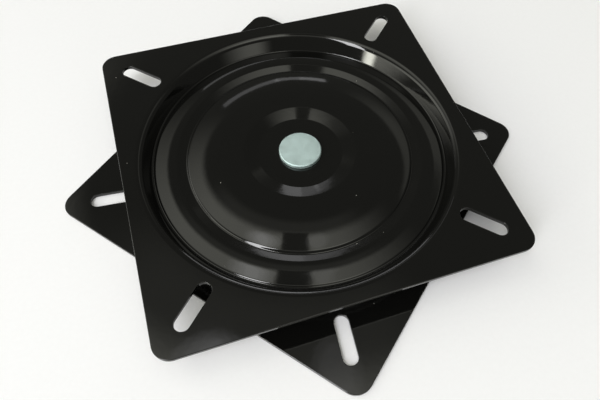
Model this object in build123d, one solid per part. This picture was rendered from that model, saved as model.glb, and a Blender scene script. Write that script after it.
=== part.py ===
from build123d import *

import os
from math import atan2, cos, radians, sin, sqrt, tan

# Boat seat swivel. Two square plates, pressed from the same sheet steel with the same dish, face
# each other and turn about a shoulder rivet. A caged ring of steel balls runs between them, in the
# channel that the shoulders of the two dishes make. Sizes are in millimetres. The origin is at the
# centre of the base plate's underside, +Z is the swivel axis, and the base plate's corners lie on
# X and Y.

# Sheet and plates
plate_side = 178.0
corner_radius = 8.0
sheet = 2.0
edge_break = 0.35
overall_height = 21.5
base_turn = 45.0
seat_turn = 5.2

# Bolt slots on the plate's diagonals, with the land left to the dish's lip and to the corner
slot_width = 7.2
slot_land = 3.25
corner_land = 12.7

# Outer wall of the dish
side_land = 6.05
wall_slope = 63.0
lip_bend = 2.4
wall_foot_bend = 0.8
plate_gap = 0.9
groove_floor = 0.9
groove_bend = 1.0

# Shoulder, which is the ball race on its inner face
shoulder_step_run = 0.8
shoulder_step_rise = 0.5
step_bend = 0.3
shoulder_slope_run = 7.16
crest_width = 3.81
crest_bend_outer = 36.0
crest_bend_inner = 1.5
shoulder_inner_run = 4.68

# Dome and the dimple round the rivet
dome_step_run = 1.1
dome_step_rise = 1.0
dome_rise = 3.37
dome_slope_run = 10.7
dome_bend = 88.0
dimple_radius = 29.2
dimple_bend = 2.0
disc_radius = 21.9
disc_bend = 2.0

# Balls and cage
ball_diameter = 3.96875
ball_count = 24
race_gap = 0.1
pocket_gap = 0.15
cage_thickness = 1.6
cage_rim = 0.9

# Rivet, bush and washer
head_diameter = 22.0
head_height = 2.2
head_round = 0.6
shoulder_diameter = 14.0
tenon_diameter = 10.0
tail_diameter = 16.0
tail_height = 2.6
tail_round = 1.8
washer_diameter = 22.0
washer_thickness = 1.6
bush_wall = 1.5
bush_flange_diameter = 36.0
bush_flange = 3.5
pivot_gap = 0.05
running_gap = 0.1

# Heights. Both plates stand the same distance from the middle plane between them.
middle = overall_height / 2
floor_depth = middle - sheet - plate_gap / 2
crest_depth = middle - sheet - ball_diameter / 2 - race_gap
shoulder_depth = floor_depth - shoulder_step_rise
dome_rim_depth = floor_depth - dome_step_rise
dome_depth = floor_depth - dome_rise
disc_depth = middle - sheet - (bush_flange + running_gap) / 2

# Radii of the dish, from the lip inwards
lip_start = plate_side / 2 - side_land
wall_top = lip_start - (lip_bend + sheet) * tan(radians(wall_slope) / 2)
wall_foot = wall_top - floor_depth / tan(radians(wall_slope))
groove_radius = wall_foot - groove_floor
shoulder_rim = groove_radius - shoulder_step_run
crest_outer = shoulder_rim - shoulder_slope_run
crest_inner = crest_outer - crest_width
valley_radius = crest_inner - shoulder_inner_run
dome_rim = valley_radius - dome_step_run
dome_edge = dome_rim - dome_slope_run

# Distances along the diagonal from the axis to the centres of a slot's two round ends
slot_start = lip_start + slot_land + slot_width / 2
corner_reach = plate_side / sqrt(2) - corner_radius * (sqrt(2) - 1)
slot_end = corner_reach - corner_land - slot_width / 2

# The level stretch of the crest lies between its two bends, and the balls run on its middle
outer_bend_reach = (crest_bend_outer + sheet) * tan(
    atan2(shoulder_depth - crest_depth, shoulder_slope_run) / 2
)
inner_bend_reach = (crest_bend_inner + sheet) * tan(
    atan2(floor_depth - crest_depth, shoulder_inner_run) / 2
)
race_radius = (crest_outer - outer_bend_reach + crest_inner + inner_bend_reach) / 2

# Fits at the centre
shoulder_radius = shoulder_diameter / 2
bush_bore = shoulder_radius + pivot_gap
bush_radius = bush_bore + bush_wall
tenon_radius = tenon_diameter / 2

# Corners of the dish's outer face: radius, height above the flange's face and inside bend radius
dish_corners = [
    (disc_radius, -disc_depth, disc_bend),
    (dimple_radius, -dome_depth, dimple_bend),
    (dome_edge, -dome_depth, dome_bend),
    (dome_rim, -dome_rim_depth, step_bend),
    (valley_radius, -floor_depth, groove_bend),
    (crest_inner, -crest_depth, crest_bend_inner),
    (crest_outer, -crest_depth, crest_bend_outer),
    (shoulder_rim, -shoulder_depth, step_bend),
    (groove_radius, -floor_depth, groove_bend),
    (wall_foot, -floor_depth, wall_foot_bend),
    (wall_top, 0, lip_bend),
]


def sheet_face(ends, corners, depth):
    """One face of the bent sheet, a depth below its outer face, as lines and tangent arcs.

    A bend that folds away from this face has its inside radius here, and the other kind has the
    sheet's thickness more. Neighbouring bends shrink where a straight run is too short for both.
    """
    inside = [bend for _, _, bend in corners]
    points = [ends[0]] + [Vector(radius, height) for radius, height, _ in corners] + [ends[1]]
    headings = [atan2(b.Y - a.Y, b.X - a.X) for a, b in zip(points, points[1:])]
    turns = [after - before for before, after in zip(headings, headings[1:])]
    middles = [headings[0]]
    middles += [before + turn / 2 for before, turn in zip(headings, turns)]
    middles += [headings[-1]]
    reaches = [depth]
    reaches += [depth / cos(turn / 2) for turn in turns]
    reaches += [depth]
    moved = [
        point + Vector(sin(angle), -cos(angle)) * reach
        for point, angle, reach in zip(points, middles, reaches)
    ]
    radii = [
        bend + (sheet - depth if turn < 0 else depth) for bend, turn in zip(inside, turns)
    ]
    tangents = [0] + [radius * abs(tan(turn / 2)) for radius, turn in zip(radii, turns)] + [0]
    runs = [(b - a).length for a, b in zip(moved, moved[1:])]
    room = [
        min(1, 0.98 * run / (before + after))
        for run, before, after in zip(runs, tangents, tangents[1:])
    ]
    fitted = [
        radius * min(before, after) for radius, before, after in zip(radii, room, room[1:])
    ]
    return FilletPolyline(*moved, radius=fitted)


def dish(hole_radius, rim_radius):
    """The pressed dish from the rivet's hole to the flat flange, turned from its section."""
    ends = [Vector(hole_radius, -disc_depth), Vector(rim_radius, 0)]
    outer = sheet_face(ends, dish_corners, 0)
    inner = sheet_face(ends, dish_corners, sheet)
    closing = [Line(outer @ 0, inner @ 0), Line(outer @ 1, inner @ 1)]
    section = make_face(outer.edges() + inner.edges() + closing)
    return revolve(Plane.XZ * section, Axis.Z, 360)


def pressed_plate(hole_radius):
    """A square plate with its sides along X and Y and its flange's outer face at zero height."""
    rim_radius = (lip_start + plate_side / 2) / 2
    blank = extrude(RectangleRounded(plate_side, plate_side, corner_radius), -sheet)
    rims = blank.faces().sort_by(Axis.Z)
    blank = fillet(rims[0].edges() + rims[-1].edges(), edge_break)
    flange = blank - Pos(0, 0, -sheet / 2) * Cylinder(rim_radius, 2 * sheet)
    slot = extrude(SlotCenterToCenter(slot_end - slot_start, slot_width), sheet, both=True)
    for corner in range(4):
        turn = Rot(Z=45 + 90 * corner)
        flange -= turn * Pos((slot_start + slot_end) / 2, 0, 0) * slot
    return flange + dish(hole_radius, rim_radius)


def seat_plate():
    return Pos(0, 0, overall_height) * Rot(Z=seat_turn) * pressed_plate(bush_radius)


def base_plate():
    return Rot(Z=base_turn) * mirror(pressed_plate(tenon_radius), about=Plane.XY)


def disc(radius, bottom, top):
    """A plain turned disc between two heights."""
    return Pos(0, 0, (bottom + top) / 2) * Cylinder(radius, top - bottom)


def pivot_rivet():
    """Shoulder rivet: the shoulder stands on the base plate, and the tail is peened below it."""
    head_seat = overall_height - disc_depth + running_gap
    base_seat = disc_depth + sheet
    tail_seat = disc_depth - washer_thickness
    head = disc(head_diameter / 2, head_seat, head_seat + head_height)
    head = fillet(head.faces().sort_by(Axis.Z)[-1].edges(), head_round)
    shoulder = disc(shoulder_radius, base_seat, head_seat)
    tenon = disc(tenon_radius, tail_seat, base_seat)
    tail = disc(tail_diameter / 2, tail_seat - tail_height, tail_seat)
    tail = fillet(tail.faces().sort_by(Axis.Z)[0].edges(), tail_round)
    return head + shoulder + tenon + tail


def tail_washer():
    """Flat washer between the base plate's disc and the rivet's tail."""
    bottom = disc_depth - washer_thickness
    return disc(washer_diameter / 2, bottom, disc_depth) - disc(tenon_radius, bottom, disc_depth)


def pivot_bush():
    """Flanged bush in the seat plate's hole, with its flange between the two plates."""
    top = overall_height - disc_depth
    shelf = top - sheet
    bottom = shelf - bush_flange
    bush = disc(bush_radius, bottom, top) + disc(bush_flange_diameter / 2, bottom, shelf)
    return bush - disc(bush_bore, bottom, top)


def ball_place(index):
    """Centre of one ball on the pitch circle."""
    return Rot(Z=360 * index / ball_count) * Pos(race_radius, 0, middle)


def ball_cage():
    """Flat ring whose round pockets clip over the balls and hold it midway between the plates."""
    pocket_radius = ball_diameter / 2 + pocket_gap
    half_width = pocket_radius + cage_rim
    bottom = middle - cage_thickness / 2
    top = middle + cage_thickness / 2
    ring = disc(race_radius + half_width, bottom, top) - disc(race_radius - half_width, bottom, top)
    for index in range(ball_count):
        ring -= ball_place(index) * Sphere(pocket_radius)
    return ring


pieces = {
    "base_plate": base_plate(),
    "seat_plate": seat_plate(),
    "pivot_rivet": pivot_rivet(),
    "pivot_bush": pivot_bush(),
    "tail_washer": tail_washer(),
    "ball_cage": ball_cage(),
}
for index in range(ball_count):
    pieces[f"bearing_ball_{index + 1:02d}"] = ball_place(index) * Sphere(ball_diameter / 2)

os.makedirs("parts", exist_ok=True)
for node, piece in pieces.items():
    export_step(piece, f"parts/{node}.step")
print(f"race radius {race_radius:.2f}, crest depth {crest_depth:.3f}, slot {slot_start:.3f} to {slot_end:.3f}")
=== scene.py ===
# %% [markdown]
# # A boat seat swivel
# The real object is two square steel plates, pressed alike, that face each other and turn on a ring of
# balls about one rivet. The CAD model gives every piece its place. This lesson loads it, makes the pieces
# that show again as smooth surfaces, gives each finish its own material, and then sets floor and light.

import bpy
import numpy as np
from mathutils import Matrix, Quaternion, Vector
from mathutils.geometry import tessellate_polygon


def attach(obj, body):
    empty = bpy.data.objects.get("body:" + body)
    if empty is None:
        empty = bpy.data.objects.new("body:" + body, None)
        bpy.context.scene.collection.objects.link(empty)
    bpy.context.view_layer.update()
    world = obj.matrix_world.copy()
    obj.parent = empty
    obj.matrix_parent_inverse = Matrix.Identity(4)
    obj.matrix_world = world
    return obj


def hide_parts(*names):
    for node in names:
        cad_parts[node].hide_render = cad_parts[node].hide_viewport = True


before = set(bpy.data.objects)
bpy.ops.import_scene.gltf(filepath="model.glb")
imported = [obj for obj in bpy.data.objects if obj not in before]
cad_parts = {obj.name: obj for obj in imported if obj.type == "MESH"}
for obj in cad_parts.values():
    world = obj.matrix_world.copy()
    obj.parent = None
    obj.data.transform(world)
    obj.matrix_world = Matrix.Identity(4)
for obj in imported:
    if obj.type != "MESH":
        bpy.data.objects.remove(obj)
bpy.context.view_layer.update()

# %% [markdown]
# ## The camera
# The photograph was taken from close by, so the near corner looks much larger than the far one. A camera
# could be placed by eye, but the two square plates are a good target: their corners fix the place, the
# turn and the focal length together. Those solved values are used here. The small shift is the
# photograph's off-centre crop.

# %% Camera
MM = 0.001
CAMERA_PLACE_MM = np.array([-35.17, -159.89, 232.27])
CAMERA_TURN_DEG = np.array([30.2034, -1.8845, -13.2071])

camera_data = bpy.data.cameras.new("photo_camera")
camera_data.sensor_width = 36.0
camera_data.lens = 31.076
camera_data.shift_x = -0.0305
camera_data.shift_y = 0.0218
camera_data.clip_start = 0.01
camera_data.clip_end = 50.0
camera = bpy.data.objects.new("photo_camera", camera_data)
camera.location = CAMERA_PLACE_MM * MM
camera.rotation_euler = np.radians(CAMERA_TURN_DEG)
bpy.context.scene.collection.objects.link(camera)
bpy.context.scene.camera = camera
print("camera", round(float(np.linalg.norm(CAMERA_PLACE_MM)), 1), "mm from the origin")

# %% [markdown]
# ## Sizes
# These are the driving sizes of the CAD source, in millimetres, because the new surfaces have to lie
# exactly where the solids are. A depth is measured down from the flange's outer face, and a bend's radius
# on the inside of the bent sheet.

# %% Sizes of the pressed plate
PLATE_SIDE = 178.0
CORNER_RADIUS = 8.0
SHEET = 2.0
EDGE_BREAK = 0.35
OVERALL_HEIGHT = 21.5
BASE_TURN_DEG = 45.0
SEAT_TURN_DEG = 5.2
LIP_START = 82.95
SEAT_BORE = 8.55
BASE_BORE = 5.0

# A slot lies on the plate's diagonal, with land left to the dish's lip and to the corner
SLOT_WIDTH = 7.2
SLOT_LAND = 3.25
CORNER_LAND = 12.7
corner_reach = PLATE_SIDE / np.sqrt(2) - CORNER_RADIUS * (np.sqrt(2) - 1)
slot_start = LIP_START + SLOT_LAND + SLOT_WIDTH / 2
slot_end = corner_reach - CORNER_LAND - SLOT_WIDTH / 2
print("slots", round(slot_end - slot_start + SLOT_WIDTH, 2), "mm long")

# %% Depths of the dish
PLATE_GAP = 0.9
BALL_DIAMETER = 3.96875
RACE_GAP = 0.1
BUSH_FLANGE = 3.5
RUNNING_GAP = 0.1
SHOULDER_STEP_RISE = 0.5
DOME_STEP_RISE = 1.0
DOME_RISE = 3.37

# Both plates stand the same distance from the middle plane between them
middle_depth = OVERALL_HEIGHT / 2 - SHEET
floor_depth = middle_depth - PLATE_GAP / 2
crest_depth = middle_depth - BALL_DIAMETER / 2 - RACE_GAP
disc_depth = middle_depth - (BUSH_FLANGE + RUNNING_GAP) / 2
shoulder_rim_depth = floor_depth - SHOULDER_STEP_RISE
dome_rim_depth = floor_depth - DOME_STEP_RISE
dome_depth = floor_depth - DOME_RISE
print("dish", round(floor_depth, 3), "mm deep, crest", round(crest_depth, 3), "mm")

# %% Section of the dish
LIP_BEND = 2.4
WALL_SLOPE = np.radians(63.0)
GROOVE_FLOOR = 0.9
SHOULDER_STEP = 0.8
SHOULDER_SLOPE = 7.16
CREST_WIDTH = 3.81
SHOULDER_INNER = 4.68
DOME_STEP = 1.1
DOME_SLOPE = 10.7
DIMPLE_RADIUS = 29.2
DISC_RADIUS = 21.9

# Level distances from one corner of the dish's section to the next, from the lip inwards
lip_run = (LIP_BEND + SHEET) * np.tan(WALL_SLOPE / 2)
wall_run = floor_depth / np.tan(WALL_SLOPE)
shoulder_runs = [SHOULDER_STEP, SHOULDER_SLOPE, CREST_WIDTH, SHOULDER_INNER]
runs_inwards = [lip_run, wall_run, GROOVE_FLOOR, *shoulder_runs, DOME_STEP, DOME_SLOPE]
radii = np.concatenate([LIP_START - np.cumsum(runs_inwards), [DIMPLE_RADIUS, DISC_RADIUS]])[::-1]

# Depth and bend at each corner, from the middle outwards
depths_and_bends = np.array([
    (disc_depth, 2.0),  # disc round the rivet
    (dome_depth, 2.0),  # edge of the dimple
    (dome_depth, 88.0),  # where the dome starts to fall
    (dome_rim_depth, 0.3),  # rim of the dome
    (floor_depth, 1.0),  # valley
    (crest_depth, 1.5),  # inner end of the crest that the balls run under
    (crest_depth, 36.0),  # outer end of the crest
    (shoulder_rim_depth, 0.3),  # rim of the shoulder
    (floor_depth, 1.0),  # inner edge of the groove
    (floor_depth, 0.8),  # foot of the wall
    (0.0, LIP_BEND),  # lip
])
dish_corners = np.column_stack([radii, -depths_and_bends[:, 0]])
dish_bends = depths_and_bends[:, 1]
print("dish corners at radii", radii.round(2).tolist())

# %% [markdown]
# ## From a section to a surface
# A pressed dish and a turned rivet are both a section carried round an axis. The CAD mesh is made of flat
# facets, and a gloss finish shows every one of them. Subdivision would swell the tight bends. So the
# section is worked out as straight runs and tangent arcs, and each point keeps its exact surface
# direction, which the mesh then uses for shading.

# %% Sections
BEND_STEP = np.radians(5.0)
EDGE_POINTS = 5


def bent_line(corners, bends):
    """Points and headings of a line with rounded corners.

    The line runs straight between corners. Where its heading turns by an angle a, an arc of radius R
    starts R * tan(a / 2) before the corner and ends as far behind it, so the runs meet it without a kink.
    """
    runs = np.diff(corners, axis=0)
    headings = np.unwrap(np.arctan2(runs[:, 1], runs[:, 0]))
    turns = np.diff(headings)
    points, angles = [corners[:1]], [headings[:1]]
    for corner, bend, start, turn in zip(corners[1:-1], bends, headings, turns):
        along = np.array([np.cos(start), np.sin(start)])
        across = np.sign(turn) * np.array([-along[1], along[0]])
        centre = corner - bend * np.tan(abs(turn) / 2) * along + bend * across
        angle = start + np.linspace(0, turn, 3 + int(abs(turn) / BEND_STEP))
        points.append(centre + np.sign(turn) * bend * np.column_stack([np.sin(angle), -np.cos(angle)]))
        angles.append(angle)
    points, angles = points + [corners[-1:]], angles + [headings[-1:]]
    return np.vstack(points), np.concatenate(angles)


def edge_round(thickness, radius):
    """Section of a sheet's broken edge: a quarter circle, a straight side and a quarter circle.

    The first column is the distance out from the edge's line (never above 0), the second the height
    below the upper face. The directions turn from straight up, past straight out, to straight down.
    """
    angle = np.linspace(0, np.pi / 2, EDGE_POINTS)
    upper = radius * np.column_stack([np.sin(angle) - 1, np.cos(angle) - 1])
    lower = np.column_stack([upper[::-1, 0], -thickness - upper[::-1, 1]])
    turn = np.concatenate([angle, np.pi / 2 + angle])
    return np.vstack([upper, lower]), np.column_stack([np.sin(turn), np.cos(turn)])


print("a bend has a point at least every", round(float(np.degrees(BEND_STEP)), 1), "degrees")

# %% Surfaces
TURN_COUNT = 256


def around_axis(section, directions):
    """The surface (r cos t, r sin t, z) of a section (r, z): grids of points and of surface directions."""
    turn = np.linspace(0, 2 * np.pi, TURN_COUNT, endpoint=False)[:, None]
    return [
        np.stack([np.cos(turn) * line[:, 0], np.sin(turn) * line[:, 0], 0 * turn + line[:, 1]], -1)
        for line in (section, directions)
    ]


def along_outline(outline, away, section, directions):
    """The surface outline + d * away at height z, for an edge's section (d, z) along a closed outline."""
    count = len(outline)
    out = section[None, :, :1] * away[:, None]
    points = np.concatenate([outline[:, None] + out, np.tile(section[:, 1:], (count, 1, 1))], -1)
    level = directions[None, :, :1] * away[:, None]
    normals = np.concatenate([level, np.tile(directions[:, 1:], (count, 1, 1))], -1)
    return points, normals


def grid_quads(rows, columns):
    """Corner numbers of the quads of a grid whose rows close into a ring."""
    row, column = np.meshgrid(np.arange(rows), np.arange(columns - 1), indexing="ij")
    here = row * columns + column
    after = (row + 1) % rows * columns + column
    return np.stack([here, here + 1, after + 1, after], -1).reshape(-1, 4)


print("each turned surface has", TURN_COUNT, "segments")

# %% [markdown]
# ## From surfaces to a mesh
# A pressing is one piece of steel, so its surfaces have to join without a seam. Each surface is made by
# itself, and points that fall on the same spot are then merged. The exact directions go into the mesh as
# custom normals: then flat faces shade flat and bends shade round, with no help from a modifier.

# %% Mesh builder
WELD_MM = 0.002


def outward(faces, corners, normals):
    """The same faces, turned over where their winding disagrees with the surface direction."""
    a, b, c = (corners[faces[:, i]] for i in range(3))
    wrong = (np.cross(b - a, c - a) * normals[faces].mean(1)).sum(1) < 0
    faces = faces.copy()
    faces[wrong] = faces[wrong][:, ::-1]
    return faces


def build_piece(name, surfaces, material, body, node):
    """One closed mesh from a list of (points, directions, faces), on a body in place of its CAD node."""
    points = np.vstack([p.reshape(-1, 3) for p, _, _ in surfaces])
    normals = np.vstack([n.reshape(-1, 3) for _, n, _ in surfaces])
    starts = np.cumsum([0] + [p.size // 3 for p, _, _ in surfaces])
    spots = np.round(points / WELD_MM)
    _, first, merged = np.unique(spots, axis=0, return_index=True, return_inverse=True)
    merged = merged.ravel()
    faces = [merged[f + start] for (_, _, f), start in zip(surfaces, starts)]
    corners = points[first]
    turned = [outward(f, corners, normals[first]) for f in faces]
    mesh = bpy.data.meshes.new(name)
    mesh.from_pydata((corners * MM).tolist(), [], [face for f in turned for face in f.tolist()])
    mesh.polygons.foreach_set("use_smooth", np.ones(len(mesh.polygons), bool))
    mesh.normals_split_custom_set_from_vertices(normals[first].tolist())
    mesh.materials.append(material)
    piece = bpy.data.objects.new(name, mesh)
    bpy.context.scene.collection.objects.link(piece)
    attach(piece, body)
    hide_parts(node)
    loops = np.zeros(len(mesh.loops), int)
    mesh.loops.foreach_get("edge_index", loops)
    open_edges = int((np.bincount(loops, minlength=len(mesh.edges)) != 2).sum())
    triangles = len(mesh.loops) - 2 * len(mesh.polygons)
    print(name, "has", triangles, "triangles and", open_edges, "open edges")


print("points within about", WELD_MM, "mm are merged")

# %% [markdown]
# ## Colours and nodes
# Colours are written as the sRGB hex values that a picture editor shows, and one function turns them to
# the linear values that light adds up in. One more function adds a node with its settings and links, so
# that a material reads as a list of what it is made of.

# %% Colour and node helpers
def linear(hex_colour):
    """Linear RGBA of an sRGB hex colour: v / 12.92 if dark, else ((v + 0.055) / 1.055) ** 2.4."""
    value = np.array([int(hex_colour[i:i + 2], 16) for i in (1, 3, 5)]) / 255
    channels = np.where(value <= 0.04045, value / 12.92, ((value + 0.055) / 1.055) ** 2.4)
    return (*channels.tolist(), 1.0)


def add_node(tree, kind, inputs=None, **settings):
    """A node with its settings; an input, by name or number, takes a value or another node's socket."""
    node = tree.nodes.new(kind)
    for name, value in settings.items():
        setattr(node, name, value)
    for name, value in (inputs or {}).items():
        if isinstance(value, bpy.types.NodeSocket):
            tree.links.new(value, node.inputs[name])
        else:
            node.inputs[name].default_value = value
    return node


def new_material(name):
    """An empty node material, with its tree and its output's surface socket."""
    material = bpy.data.materials.new(name)
    material.use_nodes = True
    tree = material.node_tree
    tree.nodes.clear()
    output = tree.nodes.new("ShaderNodeOutputMaterial")
    return material, tree, output.inputs["Surface"]


print("mid grey #808080 is", [round(c, 4) for c in linear("#808080")[:3]])

# %% [markdown]
# ## Gloss black electro-coat
# The pressings are dipped and baked: a thin, even black paint film that runs over every edge. It is close
# to a black mirror, and what gives it away as paint is a faint orange peel a few millimetres wide, a
# sheen that varies where it was handled, and pale dust. A plain black shader would look like plastic
# glass, so these three are added as noise. The peel and the smudges have their real sizes. The dust is
# drawn coarser than it is, because a real grain is too fine to show in the picture.

# %% Electro-coat material
PEEL_MM = 3.0
PEEL_DEPTH_MM = 0.4
SMUDGE_MM = 26.0
DUST_PITCH_MM = 12.0
DUST_SIZE_MM = 0.33
DUST_CORE = 0.6
DUST_COVER = 0.55
CLEAN_ROUGHNESS = 0.04
HANDLED_ROUGHNESS = 0.085
PAINT_IOR = 1.52

ecoat, tree, surface = new_material("gloss_black_electrocoat")
place = add_node(tree, "ShaderNodeTexCoord").outputs["Object"]
peel = add_node(tree, "ShaderNodeTexNoise", {
    "Vector": place, "Scale": 1 / (PEEL_MM * MM), "Detail": 1.0, "Roughness": 0.4,
})
smudge = add_node(tree, "ShaderNodeTexNoise", {
    "Vector": place, "Scale": 1 / (SMUDGE_MM * MM), "Detail": 4.0, "Roughness": 0.6,
})
sheen = add_node(tree, "ShaderNodeMapRange", {
    "Value": smudge.outputs["Fac"], "From Min": 0.3, "From Max": 0.7,
    "To Min": CLEAN_ROUGHNESS, "To Max": HANDLED_ROUGHNESS,
})
specks = add_node(tree, "ShaderNodeTexVoronoi", {
    "Vector": place, "Scale": 1 / (DUST_PITCH_MM * MM),
}, feature="F1")
dust = add_node(tree, "ShaderNodeMapRange", {
    "Value": specks.outputs["Distance"], "From Min": DUST_CORE * DUST_SIZE_MM / DUST_PITCH_MM,
    "From Max": DUST_SIZE_MM / DUST_PITCH_MM, "To Min": DUST_COVER, "To Max": 0.0,
})
colour = add_node(tree, "ShaderNodeMix", {
    0: dust.outputs["Result"], 6: linear("#0D0D0C"), 7: linear("#B9B7AF"),
}, data_type="RGBA")
bump = add_node(tree, "ShaderNodeBump", {
    "Height": peel.outputs["Fac"], "Strength": 0.02, "Distance": PEEL_DEPTH_MM * MM,
})
coat = add_node(tree, "ShaderNodeBsdfPrincipled", {
    "Base Color": colour.outputs[2], "Roughness": sheen.outputs["Result"],
    "Normal": bump.outputs["Normal"], "IOR": PAINT_IOR,
})
tree.links.new(coat.outputs["BSDF"], surface)
print(ecoat.name, "with peel", PEEL_MM, "mm wide and dust every", DUST_PITCH_MM, "mm")

# %% [markdown]
# ## The two pressed plates
# Both plates come out of one press tool: a square with rounded corners and four slots on its diagonals,
# and a round dish with a groove, a shoulder that holds the balls, a dome and a dimple for the rivet. The
# dish is turned from its section, and both faces are sheet thickness apart everywhere. The flange is flat,
# so one polygon with five holes fills it, and every cut edge gets the small round that the paint leaves.

# %% Dish
LIP_MARGIN = 0.6
flat_start = LIP_START + LIP_MARGIN


def dish_surface(bore):
    """The dish's outer face from the flange to the bore, the bore's edge, and the inner face back out.

    The inner face is the outer one moved by the sheet's thickness against its surface direction.
    """
    centre = np.array([[bore + EDGE_BREAK, -disc_depth]])
    corners = np.vstack([centre, dish_corners, [[flat_start, 0.0]]])
    headings = np.arctan2(*np.diff(corners, axis=0).T[::-1])
    folds_down = np.diff(headings) < 0
    outer, heading = bent_line(corners, dish_bends + SHEET * folds_down)
    up = np.column_stack([-np.sin(heading), np.cos(heading)])
    inner = outer - SHEET * up
    edge, edge_up = edge_round(SHEET, EDGE_BREAK)
    bore_edge = np.column_stack([bore - edge[:, 0], edge[:, 1] - disc_depth])
    section = np.vstack([outer[::-1], bore_edge[1:-1], inner])
    directions = np.vstack([up[::-1], edge_up[1:-1] * [-1, 1], -up])
    points, normals = around_axis(section, directions)
    return points, normals, grid_quads(*points.shape[:2])


print("the dish ends and the flange starts", flat_start, "mm from the axis")

# %% Outline and slots
CORNER_STEPS = 24
SLOT_END_STEPS = 20
SLOT_BREAK = 0.25


def rounded_square(side, radius):
    """Corner arcs of a square and the directions away from it; the sides between them are straight."""
    turn = np.radians(np.linspace(0, 90, CORNER_STEPS + 1) + 90 * np.arange(4)[:, None])
    away = np.stack([np.cos(turn), np.sin(turn)], -1)
    half = CORNER_STEPS // 2
    middle = (side / 2 - radius) * np.sqrt(2) * away[:, half:half + 1]
    return (middle + radius * away).reshape(-1, 2), away.reshape(-1, 2)


def slot_outline(start, end, width, turn_deg):
    """Two half circles along a diagonal, and the directions away from the steel, into the slot."""
    sweep = np.linspace(-90, 90, SLOT_END_STEPS + 1)
    turn = np.radians(np.stack([sweep, 180 + sweep]))
    out = np.stack([np.cos(turn), np.sin(turn)], -1)
    outline = out * width / 2 + np.array([[[end, 0.0]], [[start, 0.0]]])
    c, s = np.cos(np.radians(turn_deg)), np.sin(np.radians(turn_deg))
    spin = np.array([[c, s], [-s, c]])
    return (outline @ spin).reshape(-1, 2), -(out @ spin).reshape(-1, 2)


print("a slot's outline has", 2 * (SLOT_END_STEPS + 1), "points")

# %% Flange
def flange_surfaces():
    """The flange's two flat faces between the lip, the outline and the slots, and the round edges."""
    turn = np.linspace(0, 2 * np.pi, TURN_COUNT, endpoint=False)
    lip = flat_start * np.column_stack([np.cos(turn), np.sin(turn)])
    outlines = [(*rounded_square(PLATE_SIDE, CORNER_RADIUS), EDGE_BREAK)]
    for corner in range(4):
        slot = slot_outline(slot_start, slot_end, SLOT_WIDTH, 45 + 90 * corner)
        outlines.append((*slot, SLOT_BREAK))
    surfaces, rims = [], []
    for outline, away, radius in outlines:
        points, normals = along_outline(outline, away, *edge_round(SHEET, radius))
        surfaces.append((points, normals, grid_quads(*points.shape[:2])))
        rims.append(points[:, 0, :2])
    order = [rims[0], lip, *rims[1:]]
    flat = np.vstack(order)
    loops = [[Vector((x, y, 0.0)) for x, y in rim.tolist()] for rim in order]
    triangles = np.array(tessellate_polygon(loops))
    for height, direction in ((0.0, 1.0), (-SHEET, -1.0)):
        level = np.full((len(flat), 1), height)
        normals = np.tile([0.0, 0.0, direction], (len(flat), 1))
        surfaces.append((np.hstack([flat, level]), normals, triangles))
    return surfaces


flange = flange_surfaces()
print("the flange has", len(flange), "surfaces")

# %% Seat plate and base plate
def place_plate(surfaces, turn_deg, height, upside_down):
    """Every surface turned about the axis and raised, or turned over like the second of a pair."""
    c, s = np.cos(np.radians(turn_deg)), np.sin(np.radians(turn_deg))
    move = np.array([[c, s, 0], [-s, c, 0], [0, 0, -1 if upside_down else 1]])
    return [(points @ move + [0, 0, height], normals @ move, faces) for points, normals, faces in surfaces]


build_piece(
    "seat_plate_pressing",
    place_plate([dish_surface(SEAT_BORE), *flange], SEAT_TURN_DEG, OVERALL_HEIGHT, False),
    ecoat, "seat", "seat_plate",
)
build_piece(
    "base_plate_pressing",
    place_plate([dish_surface(BASE_BORE), *flange], BASE_TURN_DEG, 0.0, True),
    ecoat, "base", "base_plate",
)

# %% [markdown]
# ## Zinc-plated steel
# The rivet and its washer are plain steel with a thin zinc plate: a pale, slightly blue metal. It isn't a
# mirror, because the cold-formed face under the plate is finely uneven, so its highlights are wide. Grains
# and soft clouds in the sheen give that satin look. The grains are drawn half a millimetre wide, coarser
# than they are, so that they show.

# %% Zinc material
GRAIN_MM = 0.5
GRAIN_DEPTH_MM = 0.05
CLOUD_MM = 5.0
SATIN_ROUGHNESS = (0.58, 0.72)

zinc, tree, surface = new_material("bright_zinc_plate")
place = add_node(tree, "ShaderNodeTexCoord").outputs["Object"]
grain = add_node(tree, "ShaderNodeTexNoise", {
    "Vector": place, "Scale": 1 / (GRAIN_MM * MM), "Detail": 3.0,
})
cloud = add_node(tree, "ShaderNodeTexNoise", {
    "Vector": place, "Scale": 1 / (CLOUD_MM * MM), "Detail": 3.0,
})
tint = add_node(tree, "ShaderNodeMix", {
    0: cloud.outputs["Fac"], 6: linear("#C5DADA"), 7: linear("#DEEEEE"),
}, data_type="RGBA")
satin = add_node(tree, "ShaderNodeMapRange", {
    "Value": cloud.outputs["Fac"], "From Min": 0.3, "From Max": 0.7,
    "To Min": SATIN_ROUGHNESS[0], "To Max": SATIN_ROUGHNESS[1],
})
bump = add_node(tree, "ShaderNodeBump", {
    "Height": grain.outputs["Fac"], "Strength": 0.4, "Distance": GRAIN_DEPTH_MM * MM,
})
metal = add_node(tree, "ShaderNodeBsdfPrincipled", {
    "Base Color": tint.outputs[2], "Metallic": 1.0, "Roughness": satin.outputs["Result"],
    "Normal": bump.outputs["Normal"],
})
tree.links.new(metal.outputs["BSDF"], surface)
print(zinc.name, "with grains of", GRAIN_MM, "mm")

# %% [markdown]
# ## The rivet and its washer
# The rivet is turned and cold-headed: a flat head with a rounded rim, a shoulder that the seat plate turns
# on, a tenon through the base plate, and a tail that was peened over the washer. All of them are sections
# carried round the axis. Points on the axis fall together when the mesh is welded, which closes the ends.

# %% Turned pieces
ON_AXIS_MM = 1e-6


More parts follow.
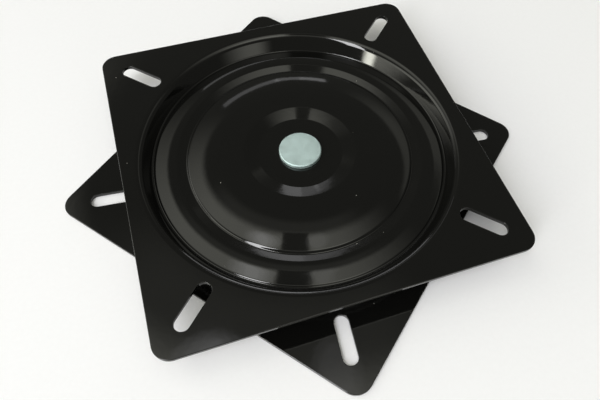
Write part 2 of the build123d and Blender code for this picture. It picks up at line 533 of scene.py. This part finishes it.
def turned_solid(corners, rounds):
    """A section (r, z), listed from the top of the axis to its foot, carried round the axis.

    Each corner gets a small arc, so its surface direction turns smoothly from one face to the next.
    """
    line, heading = bent_line(np.array(corners, float), np.array(rounds, float))
    directions = np.column_stack([-np.sin(heading), np.cos(heading)])
    points, normals = around_axis(line, directions)
    return points, normals, grid_quads(*points.shape[:2])


def split_axis_faces(surface):
    """The surface, with each quad that has a side on the axis made a triangle of three separate corners."""
    points, normals, quads = surface
    flat = points.reshape(-1, 3)
    on_axis = np.hypot(flat[:, 0], flat[:, 1]) < ON_AXIS_MM
    touching = on_axis[quads].sum(1) == 2
    lone = quads[touching]
    first = on_axis[lone]
    shift = np.argmax(first & ~np.roll(first, 1, axis=1), axis=1)
    turned = lone[np.arange(len(lone))[:, None], (shift[:, None] + np.arange(4)) % 4]
    return [(points, normals, quads[~touching]), (points, normals, turned[:, [0, 2, 3]])]


print("a point within", ON_AXIS_MM, "mm of the axis counts as on it")

# %% Rivet
HEAD_RADIUS = 11.0
HEAD_HEIGHT = 2.2
HEAD_ROUND = 0.6
SHOULDER_RADIUS = 7.0
TAIL_RADIUS = 8.0
TAIL_HEIGHT = 2.6
TAIL_ROUND = 1.8
SMALL_ROUND = 0.2
WASHER_THICKNESS = 1.6

head_seat = OVERALL_HEIGHT - disc_depth + RUNNING_GAP
head_top = head_seat + HEAD_HEIGHT
base_seat = disc_depth + SHEET
tail_seat = disc_depth - WASHER_THICKNESS
tail_end = tail_seat - TAIL_HEIGHT
rivet_section = [
    (0, head_top), (HEAD_RADIUS, head_top), (HEAD_RADIUS, head_seat),
    (SHOULDER_RADIUS, head_seat), (SHOULDER_RADIUS, base_seat),
    (BASE_BORE, base_seat), (BASE_BORE, tail_seat),
    (TAIL_RADIUS, tail_seat), (TAIL_RADIUS, tail_end), (0, tail_end),
]
rivet_rounds = [HEAD_ROUND] + 6 * [SMALL_ROUND] + [TAIL_ROUND]
build_piece(
    "headed_pivot_rivet", split_axis_faces(turned_solid(rivet_section, rivet_rounds)),
    zinc, "base", "pivot_rivet",
)

# %% Washer
WASHER_RADIUS = 11.0
BORE_ROUND = 0.15

# The section starts and ends on the upper face, beside the bore's edge
start_radius = BASE_BORE + 2 * BORE_ROUND
washer_section = [
    (start_radius, disc_depth), (WASHER_RADIUS, disc_depth), (WASHER_RADIUS, tail_seat),
    (BASE_BORE, tail_seat), (BASE_BORE, disc_depth), (start_radius, disc_depth),
]
washer_rounds = [SMALL_ROUND, SMALL_ROUND, BORE_ROUND, BORE_ROUND]
build_piece(
    "peened_tail_washer", [turned_solid(washer_section, washer_rounds)],
    zinc, "base", "tail_washer",
)

# %% [markdown]
# ## Nylon and bearing steel
# The cage and the bush are moulded in natural nylon, an off-white, waxy plastic that lets a little light
# in. The balls are ground and polished bearing steel. They are sealed between the plates, so their CAD
# shapes stay, and only their materials change.

# %% Nylon material
FLOW_MM = 6.0
GLOW_DEPTH_MM = 1.5

nylon, tree, surface = new_material("moulded_natural_nylon")
place = add_node(tree, "ShaderNodeTexCoord").outputs["Object"]
flow = add_node(tree, "ShaderNodeTexNoise", {
    "Vector": place, "Scale": 1 / (FLOW_MM * MM), "Detail": 3.0,
})
cream = add_node(tree, "ShaderNodeMix", {
    0: flow.outputs["Fac"], 6: linear("#E2DFD3"), 7: linear("#EFEDE4"),
}, data_type="RGBA")
plastic = add_node(tree, "ShaderNodeBsdfPrincipled", {
    "Base Color": cream.outputs[2], "Roughness": 0.42,
    "Subsurface Weight": 0.15, "Subsurface Scale": GLOW_DEPTH_MM * MM,
})
tree.links.new(plastic.outputs["BSDF"], surface)
print(nylon.name, "with flow marks of", FLOW_MM, "mm")

# %% Ball steel material
LAPPING_MM = 0.6

ball_steel, tree, surface = new_material("polished_bearing_steel")
place = add_node(tree, "ShaderNodeTexCoord").outputs["Object"]
lapping = add_node(tree, "ShaderNodeTexNoise", {
    "Vector": place, "Scale": 1 / (LAPPING_MM * MM), "Detail": 2.0,
})
shine = add_node(tree, "ShaderNodeMapRange", {
    "Value": lapping.outputs["Fac"], "To Min": 0.06, "To Max": 0.14,
})
steel = add_node(tree, "ShaderNodeBsdfPrincipled", {
    "Base Color": linear("#C4C6C9"), "Metallic": 1.0, "Roughness": shine.outputs["Result"],
})
tree.links.new(steel.outputs["BSDF"], surface)
print(ball_steel.name, "with lapping marks of", LAPPING_MM, "mm")

# %% Finish of the pieces that keep their CAD shape
kept_finish = {"ball_cage": nylon, "pivot_bush": nylon}
kept_finish.update({node: ball_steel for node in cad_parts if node.startswith("bearing_ball")})
for node, finish in kept_finish.items():
    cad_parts[node].data.materials.clear()
    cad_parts[node].data.materials.append(finish)
print("CAD nodes with a new finish:", len(kept_finish))

# %% [markdown]
# ## Floor
# The photograph's ground is plain white. A large sheet of pale paper under the swivel gives that, and it
# still catches the soft shadow that says how high the plates stand. It lies a hair below the base plate,
# so that the two faces don't flicker.

# %% Floor
FLOOR_SIZE = 6.0
FLOOR_DROP_MM = 0.2
FIBRE_MM = 2.0

paper, tree, surface = new_material("pale_floor_paper")
place = add_node(tree, "ShaderNodeTexCoord").outputs["Object"]
fibre = add_node(tree, "ShaderNodeTexNoise", {
    "Vector": place, "Scale": 1 / (FIBRE_MM * MM), "Detail": 3.0,
})
pale = add_node(tree, "ShaderNodeMix", {
    0: fibre.outputs["Fac"], 6: linear("#F7F7FA"), 7: linear("#FBFBFE"),
}, data_type="RGBA")
matte = add_node(tree, "ShaderNodeBsdfDiffuse", {"Color": pale.outputs[2]})
tree.links.new(matte.outputs["BSDF"], surface)

paper_corners = FLOOR_SIZE / 2 * np.array([[-1, -1, 0], [1, -1, 0], [1, 1, 0], [-1, 1, 0]])
floor_mesh = bpy.data.meshes.new("floor")
floor_mesh.from_pydata((paper_corners - [0, 0, FLOOR_DROP_MM * MM]).tolist(), [], [(0, 1, 2, 3)])
floor_mesh.materials.append(paper)
floor = bpy.data.objects.new("floor", floor_mesh)
bpy.context.scene.collection.objects.link(floor)
print("floor", FLOOR_SIZE, "m wide")

# %% [markdown]
# ## Light
# A black mirror shows its lights more than its own colour, so the lights are placed by what they show in
# it. A tall window front left draws the streaks on the lips and rims, and gives much of the light. Dim
# strips low on the far side show in the slopes that face them, and a low pale wall with a window behind
# them draws the line along the near lip. A dim panel softens the left side. Lamps without a size would
# leave only dots in the paint, so each is an area light. It is set by its bearing, clockwise from the far
# direction, its height above the horizon, its width and height in degrees, its brightness seen straight
# on, and its roll.

# %% Soft boxes
FAR_DEG = 77.6
MIDDLE = Vector((0.0, 0.0, 0.0125))
LAMP_WHITE = "#FDFDFF"


def soft_box(name, bearing, rise, size_deg, brightness, roll=0.0, distance=2.2, shape="RECTANGLE"):
    """An area light on a sphere round the swivel, facing its middle; watts = brightness * pi * area."""
    turn, up = np.radians(FAR_DEG - bearing), np.radians(rise)
    toward = Vector((np.cos(turn) * np.cos(up), np.sin(turn) * np.cos(up), np.sin(up)))
    size = 2 * distance * np.tan(np.radians(size_deg) / 2)
    data = bpy.data.lights.new(name, "AREA")
    data.shape = shape
    data.size, data.size_y = size.tolist()
    data.energy = brightness * np.pi * size.prod() * (np.pi / 4 if shape == "ELLIPSE" else 1)
    data.color = linear(LAMP_WHITE)[:3]
    lamp = bpy.data.objects.new(name, data)
    lamp.location = MIDDLE + distance * toward
    spin = Quaternion((0, 0, 1), np.radians(roll))
    lamp.rotation_euler = (toward.to_track_quat("Z", "Y") @ spin).to_euler()
    lamp.visible_camera = False
    bpy.context.scene.collection.objects.link(lamp)


soft_box("front_left_window", 218.5, 46, (12, 40), 13.0)
soft_box("far_strip_left", -14, 29.8, (15.6, 3.5), 0.8, roll=21.5)
soft_box("far_strip_right", 0, 26.5, (12, 3.5), 0.9)
soft_box("far_strip_end", 3, 26.5, (6, 3.5), 0.55)
soft_box("far_low_wall", -2, 7.5, (30, 12), 1.3)
soft_box("far_low_window", 3, 7.5, (8, 12), 1.4)
soft_box("left_soft", 285, 32, (40, 20), 0.25)
print("soft boxes:", len(bpy.data.lights))

# %% [markdown]
# ## Two soft patches overhead
# The near slopes of the dome and the shoulder show two soft patches, which the far slopes don't. A far
# lamp would show in both, so these hang only half a metre up. One lamp would have a hard edge. So each
# patch is a set of nested ovals, which add up to a bright middle, and each oval hangs a little higher
# than the wider one before it, because lamps at one height would hide each other in the paint.

# %% Overhead patches
OVAL_STEP = 0.004


def soft_patch(name, bearing, rise, ovals_deg, brightness, distance):
    """Nested oval lamps in one direction, from the widest to the narrowest."""
    for layer, size_deg in enumerate(ovals_deg):
        soft_box(
            name, bearing, rise, size_deg, brightness,
            distance=distance + OVAL_STEP * layer, shape="ELLIPSE",
        )
    print(name, "has", len(ovals_deg), "ovals")


soft_patch("overhead_left", 271, 77.2, [(12.0, 13.0), (10.6, 10.0), (9.0, 7.0), (7.4, 4.0)], 0.42, 0.51)
soft_patch("overhead_right", 84.5, 84.0, [(12.9, 8.4), (10.0, 5.6)], 0.2, 0.50)

# %% [markdown]
# ## The room
# Overhead is a wide glow, like a lit ceiling, brightest a little left of the camera's own plane. One dark
# bar hangs in it and shows in the dome and the shoulder. Low glows stand front left and front right, with
# one small bright pane at the left, and the rest of the room is dim. A picture of a room would do the
# same, but a few smooth ramps on the direction are enough. They run on its height and on three measures:
# its bearing round the direction in which a level plate mirrors the camera, its reach from there, and its
# azimuth from the camera's side. Angles are positive to the left.

# %% World's measures
LEVEL_MIRROR = 0.747

world = bpy.data.worlds.new("dim_studio")
bpy.context.scene.world = world
world.use_nodes = True
tree = world.node_tree
tree.nodes.clear()
direction = add_node(tree, "ShaderNodeTexCoord").outputs["Generated"]
facing = add_node(tree, "ShaderNodeMapping", {
    "Vector": direction, "Rotation": (0.0, 0.0, np.radians(90 - FAR_DEG)),
}, vector_type="VECTOR")
axes = add_node(tree, "ShaderNodeSeparateXYZ", {"Vector": facing.outputs["Vector"]})
height = axes.outputs["Z"]
left = add_node(tree, "ShaderNodeMath", {0: axes.outputs["X"], 1: -1.0}, operation="MULTIPLY").outputs[0]
near = add_node(tree, "ShaderNodeMath", {0: axes.outputs["Y"], 1: -1.0}, operation="MULTIPLY").outputs[0]
forward = add_node(tree, "ShaderNodeMath", {
    0: height, 1: LEVEL_MIRROR, 2: near,
}, operation="MULTIPLY_ADD").outputs[0]
bearing = add_node(tree, "ShaderNodeMath", {0: left, 1: forward}, operation="ARCTAN2").outputs[0]
spread = add_node(tree, "ShaderNodeCombineXYZ", {"X": left, "Y": forward}).outputs[0]
spread = add_node(tree, "ShaderNodeVectorMath", {0: spread}, operation="LENGTH").outputs["Value"]
reach = add_node(tree, "ShaderNodeMath", {0: spread, 1: height}, operation="DIVIDE").outputs[0]
azimuth = add_node(tree, "ShaderNodeMath", {0: left, 1: near}, operation="ARCTAN2").outputs[0]
print("a level plate mirrors the camera", round(float(np.degrees(np.arctan(LEVEL_MIRROR)))), "degrees off")

# %% Ramps and the dark bar in the ceiling
BAR_BEARING_DEG = 2.0
BAR_EDGE_DEG = (5.2, 6.8)
BAR_START_REACH = (0.53, 0.50)
BAR_END_REACH = (0.95, 1.15)


def ramped(start, ramps):
    """A value times smooth ramps, each from 0 where it is dark to 1 where it is full."""
    for value, dark_at, full_at in ramps:
        ramp = add_node(tree, "ShaderNodeMapRange", {
            "Value": value, "From Min": dark_at, "From Max": full_at,
        }, interpolation_type="SMOOTHSTEP")
        product = add_node(tree, "ShaderNodeMath", {0: start, 1: ramp.outputs[0]}, operation="MULTIPLY")
        start = product.outputs[0]
    return start


def degrees(value, dark_at, full_at):
    """A ramp whose two ends are given in degrees."""
    return value, np.radians(dark_at), np.radians(full_at)


bar_offset = add_node(tree, "ShaderNodeMath", {
    0: bearing, 1: np.radians(BAR_BEARING_DEG),
}, operation="SUBTRACT").outputs[0]
bar_offset = add_node(tree, "ShaderNodeMath", {0: bar_offset}, operation="ABSOLUTE").outputs[0]
beside_bar = ramped(1.0, [degrees(bar_offset, *BAR_EDGE_DEG)])
before_bar = ramped(1.0, [(reach, *BAR_START_REACH)])
past_bar = ramped(1.0, [(reach, *BAR_END_REACH)])
ceiling = beside_bar
for part in (before_bar, past_bar):
    ceiling = add_node(tree, "ShaderNodeMath", {0: ceiling, 1: part}, operation="MAXIMUM").outputs[0]
print("a dark bar", sum(BAR_EDGE_DEG), "degrees wide")

# %% Glows, each with a brightness, a pattern and its ramps
ROOM = 0.13
ROOM_WHITE = "#FFFFF2"

fade = (reach, 1.5, 0.8)
low = [(height, 0.42, 0.36), (height, -0.04, 0.0)]
wall = [(height, 0.6, 0.4), (height, 0.05, 0.15)]
glows = [
    (1.1, ceiling, [(reach, 0.48, 0.60), fade, degrees(bearing, -55, 0), degrees(bearing, 140, 50)]),
    (0.16, ceiling, [(reach, 0.30, 0.42), fade, degrees(bearing, -40, -18), degrees(bearing, 70, 40)]),
    (1.8, 1.0, [(reach, 0.80, 1.0), fade, degrees(bearing, -34, -18), degrees(bearing, -2, -8)]),
    (0.3, 1.0, [(reach, 0.66, 0.74), fade, degrees(bearing, -165, -125), degrees(bearing, -60, -75)]),
    (1.25, 1.0, low + [degrees(azimuth, -56, -33), degrees(azimuth, -18, -30)]),
    (2.0, 1.0, wall + [degrees(azimuth, 44, 50), degrees(azimuth, 140, 95)]),
    (16.0, 1.0, low + [degrees(azimuth, 41, 45.5), degrees(azimuth, 52, 47.5)]),
]
strength = ROOM
for brightness, pattern, ramps in glows:
    strength = add_node(tree, "ShaderNodeMath", {
        0: ramped(pattern, ramps), 1: brightness, 2: strength,
    }, operation="MULTIPLY_ADD").outputs[0]
sky = add_node(tree, "ShaderNodeBackground", {"Color": linear(ROOM_WHITE), "Strength": strength})
add_node(tree, "ShaderNodeOutputWorld", {"Surface": sky.outputs["Background"]})
bpy.context.scene.view_settings.view_transform = "Standard"
print("glows:", len(glows))
